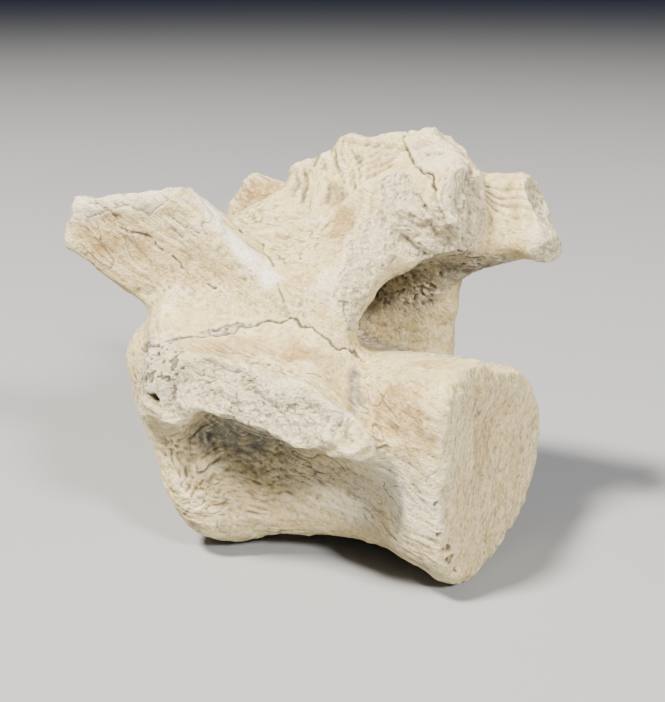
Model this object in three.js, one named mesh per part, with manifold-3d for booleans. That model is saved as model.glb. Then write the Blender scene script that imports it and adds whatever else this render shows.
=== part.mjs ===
// A fossil brontothere vertebra, broken and glued, lying on its keel as it comes to rest on a table.
//
// The bone's own frame: x runs from the head end (minus) to the tail end (plus), y from the animal's left
// (minus) to its right (plus), and z up from the belly to the back. All sizes are in millimetres.
//
// The whole bone is one smooth field of masses, the body's spool and the blades that grow from it, which is
// turned into a closed surface. Its processes are then broken off, and it is parted along its old sutures
// and glued breaks into the pieces that an anatomist names. The last step turns it into its resting pose.

import * as THREE from "three";
import { mergeVertices } from "three/addons/utils/BufferGeometryUtils.js";
import Module from "manifold-3d";

const wasm = await Module();
wasm.setup();

// The size of the surface's cells, and the width of a glued break or an open suture.
const CELL = 3.82;
const GAP = 0.34;
const SNAP = 0.01; // the grid that points left by a cut are drawn to

// The body, or centrum: a waisted spool. Its tail end face stands upright. Its head end face looks forward
// and down, so that its lower rim lies further back.
const BODY = {
  headEnd: -56,
  tailEnd: 47,
  slantFrom: 12, // the height at which the head end is measured
  slant: 0.42, // how far the head end's rim falls back for each millimetre down
  headDome: 8,
  tailDish: 2.2,
  rimRound: 7,
  widestAt: 5, // the height of the widest point of a section
  topPower: 2.9, // how square a section is above that
};

// Sections of the body from the head end (at 0) to the tail end (at 1). The lower the power, the more a
// section runs to a keel below: the head end is full and round, the tail end pointed. lean is how far the
// keel has been pushed to the right there.
const BODY_SECTIONS = [
  { at: 0.0, half: 42, top: 24, keel: -38.2, power: 1.95, lean: -8 },
  { at: 0.12, half: 42.5, top: 25, keel: -37.8, power: 1.9, lean: -8 },
  { at: 0.29, half: 34, top: 25.5, keel: -33.5, power: 1.85, lean: -7 },
  { at: 0.47, half: 27, top: 26, keel: -31, power: 1.85, lean: -5 },
  { at: 0.65, half: 27, top: 26.5, keel: -30.5, power: 1.8, lean: -2 },
  { at: 0.84, half: 37, top: 28, keel: -33.5, power: 1.75, lean: -0.5 },
  { at: 1.0, half: 40.5, top: 29, keel: -36.9, power: 1.72, lean: 0 },
];

// The body leans: how far each height's middle has been pushed to the right.
const BODY_LEAN = [
  { at: -40, push: -4.5 },
  { at: -29, push: -1 },
  { at: -17, push: 3.5 },
  { at: -7, push: 5 },
  { at: 5, push: 3 },
  { at: 20, push: -2 },
  { at: 30, push: -3 },
];

// The canal for the spinal cord.
const CANAL = { floor: 27, roof: 54.5, half: 15.5, flare: 5 };

const v = (x, y, z) => new THREE.Vector3(x, y, z);
const X = v(1, 0, 0);
const Z = v(0, 0, 1);

// Everything that grows from the body is a blade: a bar along a curve, wide along one direction and thin
// across it. round is the radius of its edges, and blend is how softly it runs into what it grows from.
// Most blades are broken off: each break is a plane through a point, with the outside the way it faces.
const BLADES = {
  arch: {
    path: [v(-21, -29, 6), v(-21, -28.5, 26), v(-18, -24, 43), v(-3, -13, 57), v(4, 0, 62),
      v(-2, 13, 57), v(-14, 24, 43), v(-17, 28.5, 26), v(-17, 29, 6)],
    across: X,
    half: [33, 33, 29, 24, 23, 24, 31, 35, 35],
    thick: [8.5, 7.5, 7, 7.5, 8, 7.5, 7, 7.5, 8.5],
    blend: 8,
  },
  neural_spine: {
    path: [v(2, 0, 58), v(0, 0, 70), v(-1, 1, 84), v(-2, 1, 98)],
    across: X,
    half: [29, 31, 30, 28],
    thick: [14, 11, 8, 7],
    round: 5,
    blend: 8,
    breaks: [
      [v(0, 0, 85), v(-0.12, 0, 1)],
      [v(-18, 0, 81.5), v(-0.4, 0, 0.92)],
      [v(18, 0, 87), v(0.56, 0, 0.83)],
    ],
  },
  spine_stump: {
    path: [v(5.5, 0, 66), v(5.5, 0, 80), v(5.5, 1, 98)],
    across: X,
    half: [22, 22, 22],
    thick: [11, 9, 7],
    round: 3,
    blend: 4,
    breaks: [
      [v(0, 0, 88.5), v(-0.08, 0, 1)],
      [v(18, 0, 87), v(0.56, 0, 0.83)],
    ],
  },
  postzygapophysis_left: {
    path: [v(4, -11, 63), v(18, -13, 69), v(34, -12, 71)],
    across: v(0, 0.2, 1),
    half: [10, 11.5, 12],
    thick: [8, 8, 8],
    blend: 6,
    breaks: [
      [v(30, -10, 70), v(1, -0.1, 0.28)],
      [v(24, -20, 62), v(0.25, -0.75, -0.6)],
    ],
  },
  postzygapophysis_right: {
    path: [v(4, 9, 63), v(20, 11, 65), v(36, 13, 71.2), v(60, 15, 77.5)],
    across: v(0, 0.1, 1),
    half: [10, 11, 12.5, 13.5],
    thick: [9, 8, 7, 7],
    round: 3.5,
    blend: 7,
    breaks: [
      [v(43, 12, 74.5), v(0.87, 0, 0.46)],
      [v(48, 12, 63), v(1, 0, -0.3)],
    ],
  },
  prezygapophysis_left: {
    path: [v(-20, -27, 31), v(-33, -31, 37.5), v(-49, -41, 47), v(-64, -49, 56), v(-80, -55, 66)],
    across: v(0.55, -0.17, 0.82),
    half: [15, 15.5, 18, 17.5, 17],
    thick: [7.5, 7, 6.5, 6, 5.5],
    round: 4,
    blend: 7,
    breaks: [
      [v(-61, -48, 57), v(-0.24, 0, 0.97)],
      [v(-74, -49, 48), v(-0.9, -0.3, 0.25)],
    ],
  },
  prezygapophysis_right: {
    path: [v(-20, 27, 31), v(-33, 31, 40), v(-49, 37, 52), v(-61, 37, 61.5), v(-72, 35, 68)],
    across: v(0.55, -0.17, 0.82),
    half: [15, 16.5, 17.5, 16, 12],
    thick: [7.5, 7, 7, 6, 4.5],
    blend: 7,
  },
  transverse_process_left: {
    path: [v(-8, -20, 14), v(-8, -34, 15), v(-7, -46, 11), v(-7, -62, 4)],
    across: v(0.97, 0, -0.21),
    half: [38, 39, 40, 38],
    thick: [13.5, 11, 6.8, 6],
    round: 5,
    blend: 7.5,
    breaks: [
      [v(-6, -52, 6), v(0.12, -1, -0.1)],
      [v(-41, -48, 8), v(-0.75, -0.65, 0)],
      [v(25, -46, 2), v(0.6, -0.8, 0)],
      [v(20, -46, 10), v(0.62, 0, 0.78)],
    ],
  },
  rim_strut_left: {
    path: [v(-39, -30, -3), v(-35, -43, 2), v(-28, -56, 5)],
    across: v(0.95, 0, -0.3),
    half: [10, 9, 8],
    thick: [8, 7, 6.5],
    blend: 6,
    breaks: [
      [v(-6, -52, 6), v(0.12, -1, -0.1)],
      [v(-41, -48, 8), v(-0.75, -0.65, 0)],
    ],
  },
  transverse_process_right: {
    path: [v(-8, 20, 14), v(-8, 34, 11), v(-12, 50, 1.6), v(-15, 70, -9.6)],
    across: v(0.97, 0, -0.24),
    half: [38, 38, 33, 27],
    thick: [14, 12, 8.5, 7],
    blend: 6,
    breaks: [[v(-12, 61, -8), v(-0.1, 1, -0.2)]],
  },
};

// Broken ends are uneven: they rise and fall by this much, over lengths of about this.
const ROUGH = { height: 0.9, length: 13 };

// A number read off a row of stations, smoothly.
function along(rows, key, place) {
  const last = rows.length - 1;
  let i = 0;
  while (i < last - 1 && rows[i + 1].at < place) i++;
  const [a, b] = [rows[i], rows[i + 1]];
  const t = THREE.MathUtils.clamp((place - a.at) / (b.at - a.at), 0, 1);
  const slope = (j) => {
    const [p, q] = [rows[Math.max(j - 1, 0)], rows[Math.min(j + 1, last)]];
    return ((q[key] - p[key]) / (q.at - p.at)) * (b.at - a.at);
  };
  const [t2, t3] = [t * t, t * t * t];
  return (
    a[key] * (2 * t3 - 3 * t2 + 1) +
    slope(i) * (t3 - 2 * t2 + t) +
    b[key] * (3 * t2 - 2 * t3) +
    slope(i + 1) * (t3 - t2)
  );
}

// Two masses run into each other over a fillet of that width, and one is carved from another likewise.
function melt(a, b, fillet) {
  const h = Math.max(fillet - Math.abs(a - b), 0) / fillet;
  return Math.min(a, b) - (h * h * fillet) / 4;
}
const carve = (a, b, fillet) => -melt(-a, b, fillet);

// How far a point is outside the body (below zero inside it).
function bodyField(p) {
  const headEnd = BODY.headEnd + BODY.slant * (BODY.slantFrom - p.z);
  const u = THREE.MathUtils.clamp((p.x - headEnd) / (BODY.tailEnd - headEnd), 0, 1);
  const half = along(BODY_SECTIONS, "half", u);
  const above = p.z > BODY.widestAt;
  const reach = Math.abs(along(BODY_SECTIONS, above ? "top" : "keel", u) - BODY.widestAt);
  const power = above ? BODY.topPower : along(BODY_SECTIONS, "power", u);
  const low = THREE.MathUtils.clamp((BODY.widestAt - p.z) / 40, 0, 1);
  const push = along(BODY_LEAN, "push", p.z) + along(BODY_SECTIONS, "lean", u) * low * low;
  const a = Math.abs(p.y - push) / half;
  const b = Math.abs(p.z - BODY.widestAt) / reach;
  const size = Math.pow(Math.pow(a, power) + Math.pow(b, power) + 1e-9, 1 / power);
  const steep = Math.hypot(
    Math.pow(a / size, power - 1) / half,
    Math.pow(b / size, power - 1) / reach,
  );
  const side = (size - 1) / Math.max(steep, 1 / 45);
  const middle = 1 - Math.min(size, 1) ** 2;
  const head = (headEnd - p.x) / Math.hypot(1, BODY.slant) - BODY.headDome * middle;
  const tail = p.x - BODY.tailEnd + BODY.tailDish * middle;
  return carve(carve(side, -head, BODY.rimRound), -tail, BODY.rimRound);
}

// How far a broken end stands out or lies back at a point.
function roughness({ x, y, z }) {
  const turn = (2 * Math.PI) / ROUGH.length;
  const wave = (a, b, c, start) => Math.sin((a * x + b * y + c * z) * turn + start);
  return (ROUGH.height * (wave(1, 0.3, 0.2, 0) + wave(-0.4, 0.9, 0.7, 2) + wave(0.8, -0.6, 1, 4))) / 2;
}

// A blade's field, from points spaced along its curve with its two directions at each.
const STEPS = 10;
function bladeField({ path, across, half, thick, round, breaks = [] }) {
  const curve = new THREE.CatmullRomCurve3(path, false, "centripetal");
  const row = (values, t) => {
    const at = t * (values.length - 1);
    const i = Math.min(Math.floor(at), values.length - 2);
    return THREE.MathUtils.lerp(values[i], values[i + 1], at - i);
  };
  const marks = [];
  for (let i = 0; i <= STEPS; i++) {
    const t = i / STEPS;
    const run = curve.getTangent(t);
    const wide = across.clone().addScaledVector(run, -across.dot(run)).normalize();
    const thin = new THREE.Vector3().crossVectors(run, wide);
    marks.push({ at: curve.getPoint(t), wide, thin, half: row(half, t), thick: row(thick, t) });
  }
  const q = new THREE.Vector3();
  const step = new THREE.Vector3();
  return (p) => {
    let nearest = Infinity;
    for (let i = 0; i < STEPS; i++) {
      const [a, b] = [marks[i], marks[i + 1]];
      step.subVectors(b.at, a.at);
      const t = THREE.MathUtils.clamp(q.subVectors(p, a.at).dot(step) / step.lengthSq(), 0, 1);
      q.addScaledVector(step, -t);
      const wide = Math.abs(THREE.MathUtils.lerp(a.wide.dot(q), b.wide.dot(q), t));
      const thin = Math.abs(THREE.MathUtils.lerp(a.thin.dot(q), b.thin.dot(q), t));
      const past = q.dot(step) / step.length();
      const thickness = THREE.MathUtils.lerp(a.thick, b.thick, t);
      const edge = Math.min(round ?? thickness, thickness);
      const dw = wide - THREE.MathUtils.lerp(a.half, b.half, t) + edge;
      const dt = thin - thickness + edge;
      const out = Math.hypot(Math.max(dw, 0), Math.max(dt, 0), past);
      nearest = Math.min(nearest, out + Math.min(Math.max(dw, dt), 0) - edge);
    }
    for (const [at, facing] of breaks) {
      const past = q.subVectors(p, at).dot(facing) / facing.length();
      nearest = carve(nearest, -past - roughness(p), 3);
    }
    return nearest;
  };
}

const blades = Object.values(BLADES).map((blade) => [bladeField(blade), blade.blend]);

// The canal: an oval passage, wider at its two mouths.
function canalField(p) {
  const mouth = CANAL.flare * THREE.MathUtils.smoothstep(Math.abs(p.x + 12), 22, 60);
  const half = CANAL.half + mouth;
  const rise = (CANAL.roof - CANAL.floor) / 2 + mouth * 0.6;
  const size = Math.hypot(p.y / half, (p.z - (CANAL.roof + CANAL.floor) / 2 - mouth * 0.6) / rise);
  return (size - 1) * Math.min(half, rise);
}

function boneField(p) {
  let d = bodyField(p);
  for (const [field, blend] of blades) d = melt(d, field(p), blend);
  return carve(d, canalField(p), 3);
}

// The point of a cell that best lies on all the flat pieces of surface found on its edges.
function meetingPoint(found, low, cell) {
  const point = new THREE.Vector3();
  for (const { at } of found) point.addScaledVector(at, 1 / found.length);
  const move = new THREE.Vector3();
  for (let pass = 0; pass < 12; pass++) {
    move.set(0, 0, 0);
    for (const { at, facing } of found)
      move.addScaledVector(facing, facing.dot(at) - facing.dot(point));
    point.addScaledVector(move, 1 / found.length);
  }
  const high = low.clone().addScalar(cell * 0.98);
  return point.clamp(low.clone().addScalar(cell * 0.02), high);
}

// The surface where a field is zero, as one closed mesh: a point in each cell that the surface crosses, and a
// square between the four cells around each crossed edge of the grid.
function surfaceOf(field, box, cell) {
  const count = box.getSize(new THREE.Vector3()).divideScalar(cell).ceil().addScalar(1);
  const [nx, ny, nz] = count.toArray();
  const id = (i, j, k) => (k * ny + j) * nx + i;
  const corner = (i, j, k, out) => out.set(i, j, k).multiplyScalar(cell).add(box.min);
  const values = new Float32Array(nx * ny * nz);
  const p = new THREE.Vector3();
  for (let k = 0; k < nz; k++)
    for (let j = 0; j < ny; j++)
      for (let i = 0; i < nx; i++) values[id(i, j, k)] = field(corner(i, j, k, p));

  const facingAt = (at) => {
    const e = 0.3;
    const d = field(at);
    return new THREE.Vector3(
      field(p.copy(at).setX(at.x + e)) - d,
      field(p.copy(at).setY(at.y + e)) - d,
      field(p.copy(at).setZ(at.z + e)) - d,
    ).normalize();
  };

  // Where the surface crosses an edge of the grid, and which way it faces there.
  const crossings = new Map();
  const [a, b] = [new THREE.Vector3(), new THREE.Vector3()];
  const crossing = (s, axis) => {
    const key = id(...s) * 3 + axis;
    if (crossings.has(key)) return crossings.get(key);
    const t = [...s];
    t[axis]++;
    const [va, vb] = [values[id(...s)], values[id(...t)]];
    let found = null;
    if (va < 0 !== vb < 0) {
      const at = corner(...s, a).clone().lerp(corner(...t, b), va / (va - vb));
      found = { at, facing: facingAt(at) };
    }
    crossings.set(key, found);
    return found;
  };

  const points = [];
  const pointOf = new Map();
  for (let k = 0; k < nz - 1; k++)
    for (let j = 0; j < ny - 1; j++)
      for (let i = 0; i < nx - 1; i++) {
        const found = [];
        for (let axis = 0; axis < 3; axis++)
          for (let m = 0; m < 4; m++) {
            const s = [i, j, k];
            s[(axis + 1) % 3] += m & 1;
            s[(axis + 2) % 3] += m >> 1;
            const one = crossing(s, axis);
            if (one) found.push(one);
          }
        if (!found.length) continue;
        pointOf.set(id(i, j, k), points.length);
        points.push(meetingPoint(found, corner(i, j, k, a), cell));
      }

  const squares = [];
  for (let axis = 0; axis < 3; axis++)
    for (let k = 1; k < nz - 1; k++)
      for (let j = 1; j < ny - 1; j++)
        for (let i = 1; i < nx - 1; i++) {
          const next = [i, j, k];
          next[axis]++;
          const inside = values[id(i, j, k)] < 0;
          if (inside === values[id(...next)] < 0) continue;
          const square = [[0, 0], [1, 0], [1, 1], [0, 1]].map(([s, t]) => {
            const c = [i, j, k];
            c[(axis + 1) % 3] -= s;
            c[(axis + 2) % 3] -= t;
            return pointOf.get(id(...c));
          });
          squares.push(inside ? square : square.reverse());
        }

  // The points are evened out a little and drawn back on to the surface.
  const neighbours = points.map(() => new Set());
  for (const s of squares) s.forEach((n, i) => neighbours[n].add(s[(i + 1) % 4]).add(s[(i + 3) % 4]));
  for (let pass = 0; pass < 3; pass++) {
    const even = points.map((point, n) => {
      const mean = new THREE.Vector3();
      for (const m of neighbours[n]) mean.add(points[m]);
      return mean.divideScalar(neighbours[n].size).lerp(point, 0.5);
    });
    even.forEach((point, n) => {
      const facing = facingAt(point);
      const out = THREE.MathUtils.clamp(field(point), -cell / 3, cell / 3);
      points[n].copy(point).addScaledVector(facing, -out);
    });
  }

  const index = squares.flatMap(([q, r, s, t]) =>
    points[q].distanceToSquared(points[s]) < points[r].distanceToSquared(points[t])
      ? [q, r, s, q, s, t]
      : [q, r, t, r, s, t],
  );
  const geometry = new THREE.BufferGeometry().setFromPoints(points);
  return geometry.setIndex(index);
}

// three.js geometry to a solid and back.
function solid(geometry) {
  const bare = geometry.clone();
  bare.deleteAttribute("normal");
  bare.deleteAttribute("uv");
  const merged = mergeVertices(bare, 1e-4);
  return new wasm.Manifold(
    new wasm.Mesh({
      numProp: 3,
      vertProperties: merged.attributes.position.array,
      triVerts: new Uint32Array(merged.index.array),
    }),
  );
}
function geometryOf(body) {
  const { vertProperties, triVerts, numProp, numVert } = body.getMesh();
  const positions = new Float32Array(numVert * 3);
  for (let i = 0; i < numVert; i++)
    for (let n = 0; n < 3; n++)
      positions[i * 3 + n] = Math.round(vertProperties[i * numProp + n] / SNAP) * SNAP;
  const all = new THREE.BufferGeometry()
    .setAttribute("position", new THREE.BufferAttribute(positions, 3))
    .setIndex(new THREE.BufferAttribute(triVerts, 1));
  return withoutSlivers(mergeVertices(all, SNAP / 4));
}

// Cuts leave points closer than any tool could make. They are drawn together on a fine grid, and the
// triangles that this closes up are dropped.
function withoutSlivers(geometry) {
  const { array } = geometry.index;
  const kept = [];
  for (let i = 0; i < array.length; i += 3) {
    const [a, b, c] = array.subarray(i, i + 3);
    if (a !== b && b !== c && c !== a) kept.push(a, b, c);
  }
  return geometry.setIndex(kept);
}

const reach = new THREE.Box3(v(-102.4, -82.4, -48.4), v(76, 90, 104));
const whole = solid(surfaceOf(boneField, reach, CELL));

// The height of the suture between the body and the arch, along the outside of the stalks that carry the arch.
const SUTURE = [
  { at: -60, height: 34 },
  { at: -54, height: 22 },
  { at: -49, height: 15.6 },
  { at: -29, height: 22 },
  { at: -3, height: 31 },
  { at: 15, height: 23 },
  { at: 24, height: 34 },
];
const CANAL_SIDE = { from: 19, to: 34, height: 30.5 }; // inside the stalks the suture levels out above the floor

function sutureHeight(x, y) {
  const outside = along(SUTURE, "height", THREE.MathUtils.clamp(x, -60, 24));
  const inward = 1 - THREE.MathUtils.smoothstep(Math.abs(y), CANAL_SIDE.from, CANAL_SIDE.to);
  return THREE.MathUtils.lerp(outside, CANAL_SIDE.height, inward);
}

// Where each side process grows from the body: a shallow bowl around its root.
const ROOT = { left: 36, right: 41, depth: 15, head: [-32, -48], tail: [20, 34] };

function rootReach(x, base) {
  const ahead = THREE.MathUtils.smoothstep(-x, -ROOT.head[0], -ROOT.head[1]);
  const behind = THREE.MathUtils.smoothstep(x, ...ROOT.tail);
  return base + ROOT.depth * Math.max(ahead, behind);
}

// Tools that take one piece off a body. Each gives its solid, grown by a margin.
const BIG = 260;
const below = (height) => (margin) => {
  const block = new THREE.BoxGeometry(BIG, BIG, BIG, 40, 40, 1).translate(0, 0, -BIG / 2);
  const at = block.attributes.position;
  for (let i = 0; i < at.count; i++)
    if (at.getZ(i) > -1) at.setZ(i, height(at.getX(i), at.getY(i)) + margin);
  return solid(block);
};
const beside = (side, base) => (margin) => {
  const block = new THREE.BoxGeometry(BIG, BIG, BIG, 48, 1, 1).translate(0, (side * BIG) / 2, 0);
  const at = block.attributes.position;
  for (let i = 0; i < at.count; i++)
    if (Math.abs(at.getY(i)) < 1) at.setY(i, side * (rootReach(at.getX(i), base) - margin));
  return solid(block);
};
const boxed = (low, high) => (margin) => {
  const box = new THREE.Box3(low, high).expandByScalar(margin);
  const block = new THREE.BoxGeometry(...box.getSize(new THREE.Vector3()).toArray());
  return solid(block.translate(...box.getCenter(new THREE.Vector3()).toArray()));
};
const beyond = (at, facing, across, size) => (margin) => {
  const out = facing.clone().normalize();
  const wide = across.clone().addScaledVector(out, -across.dot(out)).normalize();
  const thin = new THREE.Vector3().crossVectors(out, wide);
  const block = new THREE.BoxGeometry(size.x + margin, size.y + 2 * margin, size.z + 2 * margin);
  block.translate((size.x - margin) / 2, 0, 0);
  return solid(block.applyMatrix4(new THREE.Matrix4().makeBasis(out, wide, thin).setPosition(at)));
};

// Each piece is taken off what is left with its tool, and the tool grown by the gap is taken off the rest.
function take(body, tool) {
  return [body.intersect(tool(0)), body.subtract(tool(GAP))];
}

const ZYGA = { left: v(-39.5, -34, 44), right: v(-39.5, 34, 44), lean: v(0.55, -0.17, 0.82) };
const pieces = {};
let rest;
[rest, pieces.arch] = take(whole, below(sutureHeight));
[pieces.transverse_process_left, rest] = take(rest, beside(-1, ROOT.left));
[pieces.transverse_process_right, pieces.centrum] = take(rest, beside(1, ROOT.right));
rest = pieces.arch;
delete pieces.arch;
const TOOLS = {
  prezygapophysis_left: beyond(ZYGA.left, v(-0.72, -0.42, 0.55), ZYGA.lean, v(90, 80, 60)),
  prezygapophysis_right: beyond(ZYGA.right, v(-0.72, 0.42, 0.55), ZYGA.lean, v(90, 80, 60)),
  neural_spine: boxed(v(-46, -30, 71), v(17, 30, 130)),
  postzygapophysis_left: boxed(v(15, -60, 57), v(90, -1, 130)),
  postzygapophysis_right: boxed(v(15, -1 + GAP, 57), v(90, 60, 130)),
  pedicle_left: boxed(v(-90, -70, -20), v(60, -8, 48)),
  pedicle_right: boxed(v(-90, 8, -20), v(60, 70, 48)),
};
for (const [name, tool] of Object.entries(TOOLS)) [pieces[name], rest] = take(rest, tool);
pieces.lamina = rest;

// The resting pose: the bone rolls on to its left until the far side process takes its weight, with the keel's
// two ends. Each of the three is worn to a small flat.
const POSE = { roll: -18, pitch: 0.4, worn: 0.8 };

const turn = new THREE.Matrix4().makeRotationFromEuler(
  new THREE.Euler(THREE.MathUtils.degToRad(POSE.roll), THREE.MathUtils.degToRad(POSE.pitch), 0, "ZYX"),
);
const lying = new THREE.Box3();
const turned = Object.entries(pieces).map(([name, body]) => {
  const geometry = geometryOf(body).applyMatrix4(turn);
  geometry.computeBoundingBox();
  lying.union(geometry.boundingBox);
  return [name, geometry];
});
const middle = lying.getCenter(new THREE.Vector3());
const floor = solid(new THREE.BoxGeometry(BIG, BIG, 20).translate(0, 0, -10));

const BONE = { color: 0xd9cfb8, roughness: 0.75, metalness: 0 };
const vertebra = new THREE.Group();
vertebra.name = "vertebra";
for (const [name, geometry] of turned) {
  geometry.translate(-middle.x, -middle.y, -lying.min.z - POSE.worn);
  const mesh = new THREE.Mesh(
    geometryOf(solid(geometry).subtract(floor)),
    new THREE.MeshStandardMaterial(BONE),
  );
  mesh.name = name;
  vertebra.add(mesh);
}

export default vertebra;
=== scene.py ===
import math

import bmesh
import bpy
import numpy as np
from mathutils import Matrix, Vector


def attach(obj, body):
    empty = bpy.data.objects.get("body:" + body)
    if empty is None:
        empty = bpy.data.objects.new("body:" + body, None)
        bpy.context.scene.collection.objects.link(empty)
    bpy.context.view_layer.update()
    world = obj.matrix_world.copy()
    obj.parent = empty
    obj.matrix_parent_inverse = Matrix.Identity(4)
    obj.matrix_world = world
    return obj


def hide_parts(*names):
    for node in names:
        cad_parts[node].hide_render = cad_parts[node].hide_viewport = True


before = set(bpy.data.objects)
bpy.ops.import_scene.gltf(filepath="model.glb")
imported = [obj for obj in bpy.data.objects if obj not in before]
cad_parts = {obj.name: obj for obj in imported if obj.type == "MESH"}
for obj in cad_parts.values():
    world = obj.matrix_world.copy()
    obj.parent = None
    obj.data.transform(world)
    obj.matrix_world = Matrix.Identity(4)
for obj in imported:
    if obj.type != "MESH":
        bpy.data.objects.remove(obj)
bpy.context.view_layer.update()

# A fossil brontothere vertebra, broken and glued, lying on a pale table in soft studio light.
# Lengths are in metres, apart from names that end in mm and all places and sizes on the bone. Those are in
# millimetres in the bone's own frame: x runs from the head end to the tail end, y from the animal's left to
# its right, and z from the belly to the back.

MM = 0.001

# How the bone lies: rolled towards its right side, and moved from its own frame to the table's.
ROLL = math.radians(-18)
PITCH = math.radians(0.4)
PLACE_MM = np.array([15.886, -4.42, 33.501])


def aim(thing, target, azimuth, elevation, distance):
    """Sets a camera or lamp to look at a target. At azimuth 0 it is in front of the bone's left side."""
    around, up = math.radians(azimuth), math.radians(elevation)
    back = Vector((math.sin(around) * math.cos(up), -math.cos(around) * math.cos(up), math.sin(up)))
    thing.location = target + back * distance
    thing.rotation_euler = (-back).to_track_quat("-Z", "Y").to_euler()
    bpy.context.collection.objects.link(thing)


def camera():
    """The photograph's camera: low, looking down a little, in front of the left side and the tail end."""
    data = bpy.data.cameras.new("camera")
    data.lens = 63.6
    data.sensor_width = 36
    shot = bpy.data.objects.new("camera", data)
    aim(shot, Vector((0.0159, -0.0134, 0.0615)), azimuth=30, elevation=17, distance=0.354)
    bpy.context.scene.camera = shot


camera()


def bone_axes():
    """The turn from the bone's own frame to the table's."""
    roll = np.array(
        [
            [1, 0, 0],
            [0, math.cos(ROLL), -math.sin(ROLL)],
            [0, math.sin(ROLL), math.cos(ROLL)],
        ]
    )
    pitch = np.array(
        [
            [math.cos(PITCH), 0, math.sin(PITCH)],
            [0, 1, 0],
            [-math.sin(PITCH), 0, math.cos(PITCH)],
        ]
    )
    return pitch @ roll


AXES = bone_axes()


# Places on the bone, as how much each point belongs to them


def fade(value, low, high):
    """0 at low, 1 at high and beyond, and smooth between."""
    t = np.clip((value - low) / (high - low), 0, 1)
    return t * t * (3 - 2 * t)


def near(p, centre, reach, core=0.45):
    """1 close to a place, 0 further from it than its reach along each axis."""
    far = np.sqrt((((p - np.array(centre, float)) / np.array(reach, float)) ** 2).sum(1))
    return 1 - fade(far, core, 1)


def off_line(p, stops, widths=None):
    """Each point's distance from a bent line, in millimetres or in the line's width there."""
    stops = np.array(stops, float)
    widths = np.ones(len(stops)) if widths is None else np.array(widths, float)
    nearest = np.full(len(p), np.inf)
    for a, b, wa, wb in zip(stops[:-1], stops[1:], widths[:-1], widths[1:]):
        run = b - a
        t = np.clip(((p - a) @ run) / (run @ run), 0, 1)
        far = np.linalg.norm(p - a - t[:, None] * run, axis=1) / (wa + (wb - wa) * t)
        nearest = np.minimum(nearest, far)
    return nearest


# Uneven variation, always the same on each run


# Large odd numbers that mix a cell's place and a seed into one number with no pattern to it.
MIX_CELL = (73856093, 19349663, 83492791)
MIX_SEED = 265443577
MIX_AGAIN = (1274126177, 2246822519)
LOW_32_BITS = 0xFFFFFFFF
LOW_16_BITS = 0xFFFF


def chance(cell, seed):
    """A number from -1 to 1 for each whole-numbered cell."""
    i, j, k = (cell[:, n].astype(np.int64) * MIX_CELL[n] for n in range(3))
    h = i ^ j ^ k ^ (seed * MIX_SEED)
    h = ((h ^ (h >> 13)) * MIX_AGAIN[0]) & LOW_32_BITS
    h = ((h ^ (h >> 15)) * MIX_AGAIN[1]) & LOW_32_BITS
    return ((h ^ (h >> 16)) & LOW_16_BITS) / (LOW_16_BITS / 2) - 1


def turned_axes():
    """Axes along none of the bone's faces, so that no row of the noise's cells shows on them."""
    a, b = 0.65, 1.1
    about_z = np.array([[math.cos(a), -math.sin(a), 0], [math.sin(a), math.cos(a), 0], [0, 0, 1]])
    about_x = np.array([[1, 0, 0], [0, math.cos(b), -math.sin(b)], [0, math.sin(b), math.cos(b)]])
    return about_z @ about_x


NOISE_AXES = turned_axes()


def noise(p, size, seed):
    """Smooth noise from about -1 to 1 with features of about that size."""
    q = p @ NOISE_AXES / size
    cell = np.floor(q)
    t = q - cell
    t = t * t * t * (t * (t * 6 - 15) + 10)
    total = np.zeros(len(p))
    for corner in np.ndindex(2, 2, 2):
        share = np.prod(np.where(corner, t, 1 - t), axis=1)
        total += share * chance(cell + corner, seed)
    return total


def grain(p, size, seed, octaves=3):
    """Noise with finer and finer noise on it, each weaker than the last."""
    weaker = 1.8
    return sum(noise(p, size / 2**n, seed + n) / weaker**n for n in range(octaves))


def wander(p, size, much, seed):
    """The points moved about, so that lines drawn with them run unevenly, in waves of about that size."""
    return p + much * np.stack([grain(p, size, seed + 10 * n, 2) for n in range(3)], 1)


def streaks(p, run, length, width, seed):
    """Noise drawn out along a direction."""
    run = np.array(run, float) / np.linalg.norm(run)
    along = (p @ run)[:, None] * run
    return noise((p - along) / width + along / length, 1.0, seed)


def torn(p, size, seed, octaves=3):
    """Noise with sharp ridges and finer ridges on them, as a torn or crumbled face has."""
    steep, weaker, whole = 2.6, 1.9, 1.6
    total = np.zeros(len(p))
    for n in range(octaves):
        total += (1 - steep * np.abs(noise(p, size / 2**n, seed + n))) / weaker**n
    return total / whole


def fibres(p, run, length, width, seed):
    """Streaks with finer streaks on them."""
    coarse = streaks(p, run, length, width, seed)
    fine = streaks(p, run, length * 0.6, width * 0.5, seed + 1)
    return 0.6 * coarse + 0.4 * fine


# The skin: every solid of the bone run together, so that no join shows

VOXEL_MM = 0.45
SWELL_MM = 0.25  # closes the thin cuts between the solids
WORN_MM = 1.5  # how far corners of the solids are smoothed away
MERGE_WITHIN = 2e-6  # the solids are loose triangles, whose corners are merged first


def new_object(name, mesh):
    made = bpy.data.objects.new(name, mesh)
    bpy.context.collection.objects.link(made)
    return made


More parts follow.
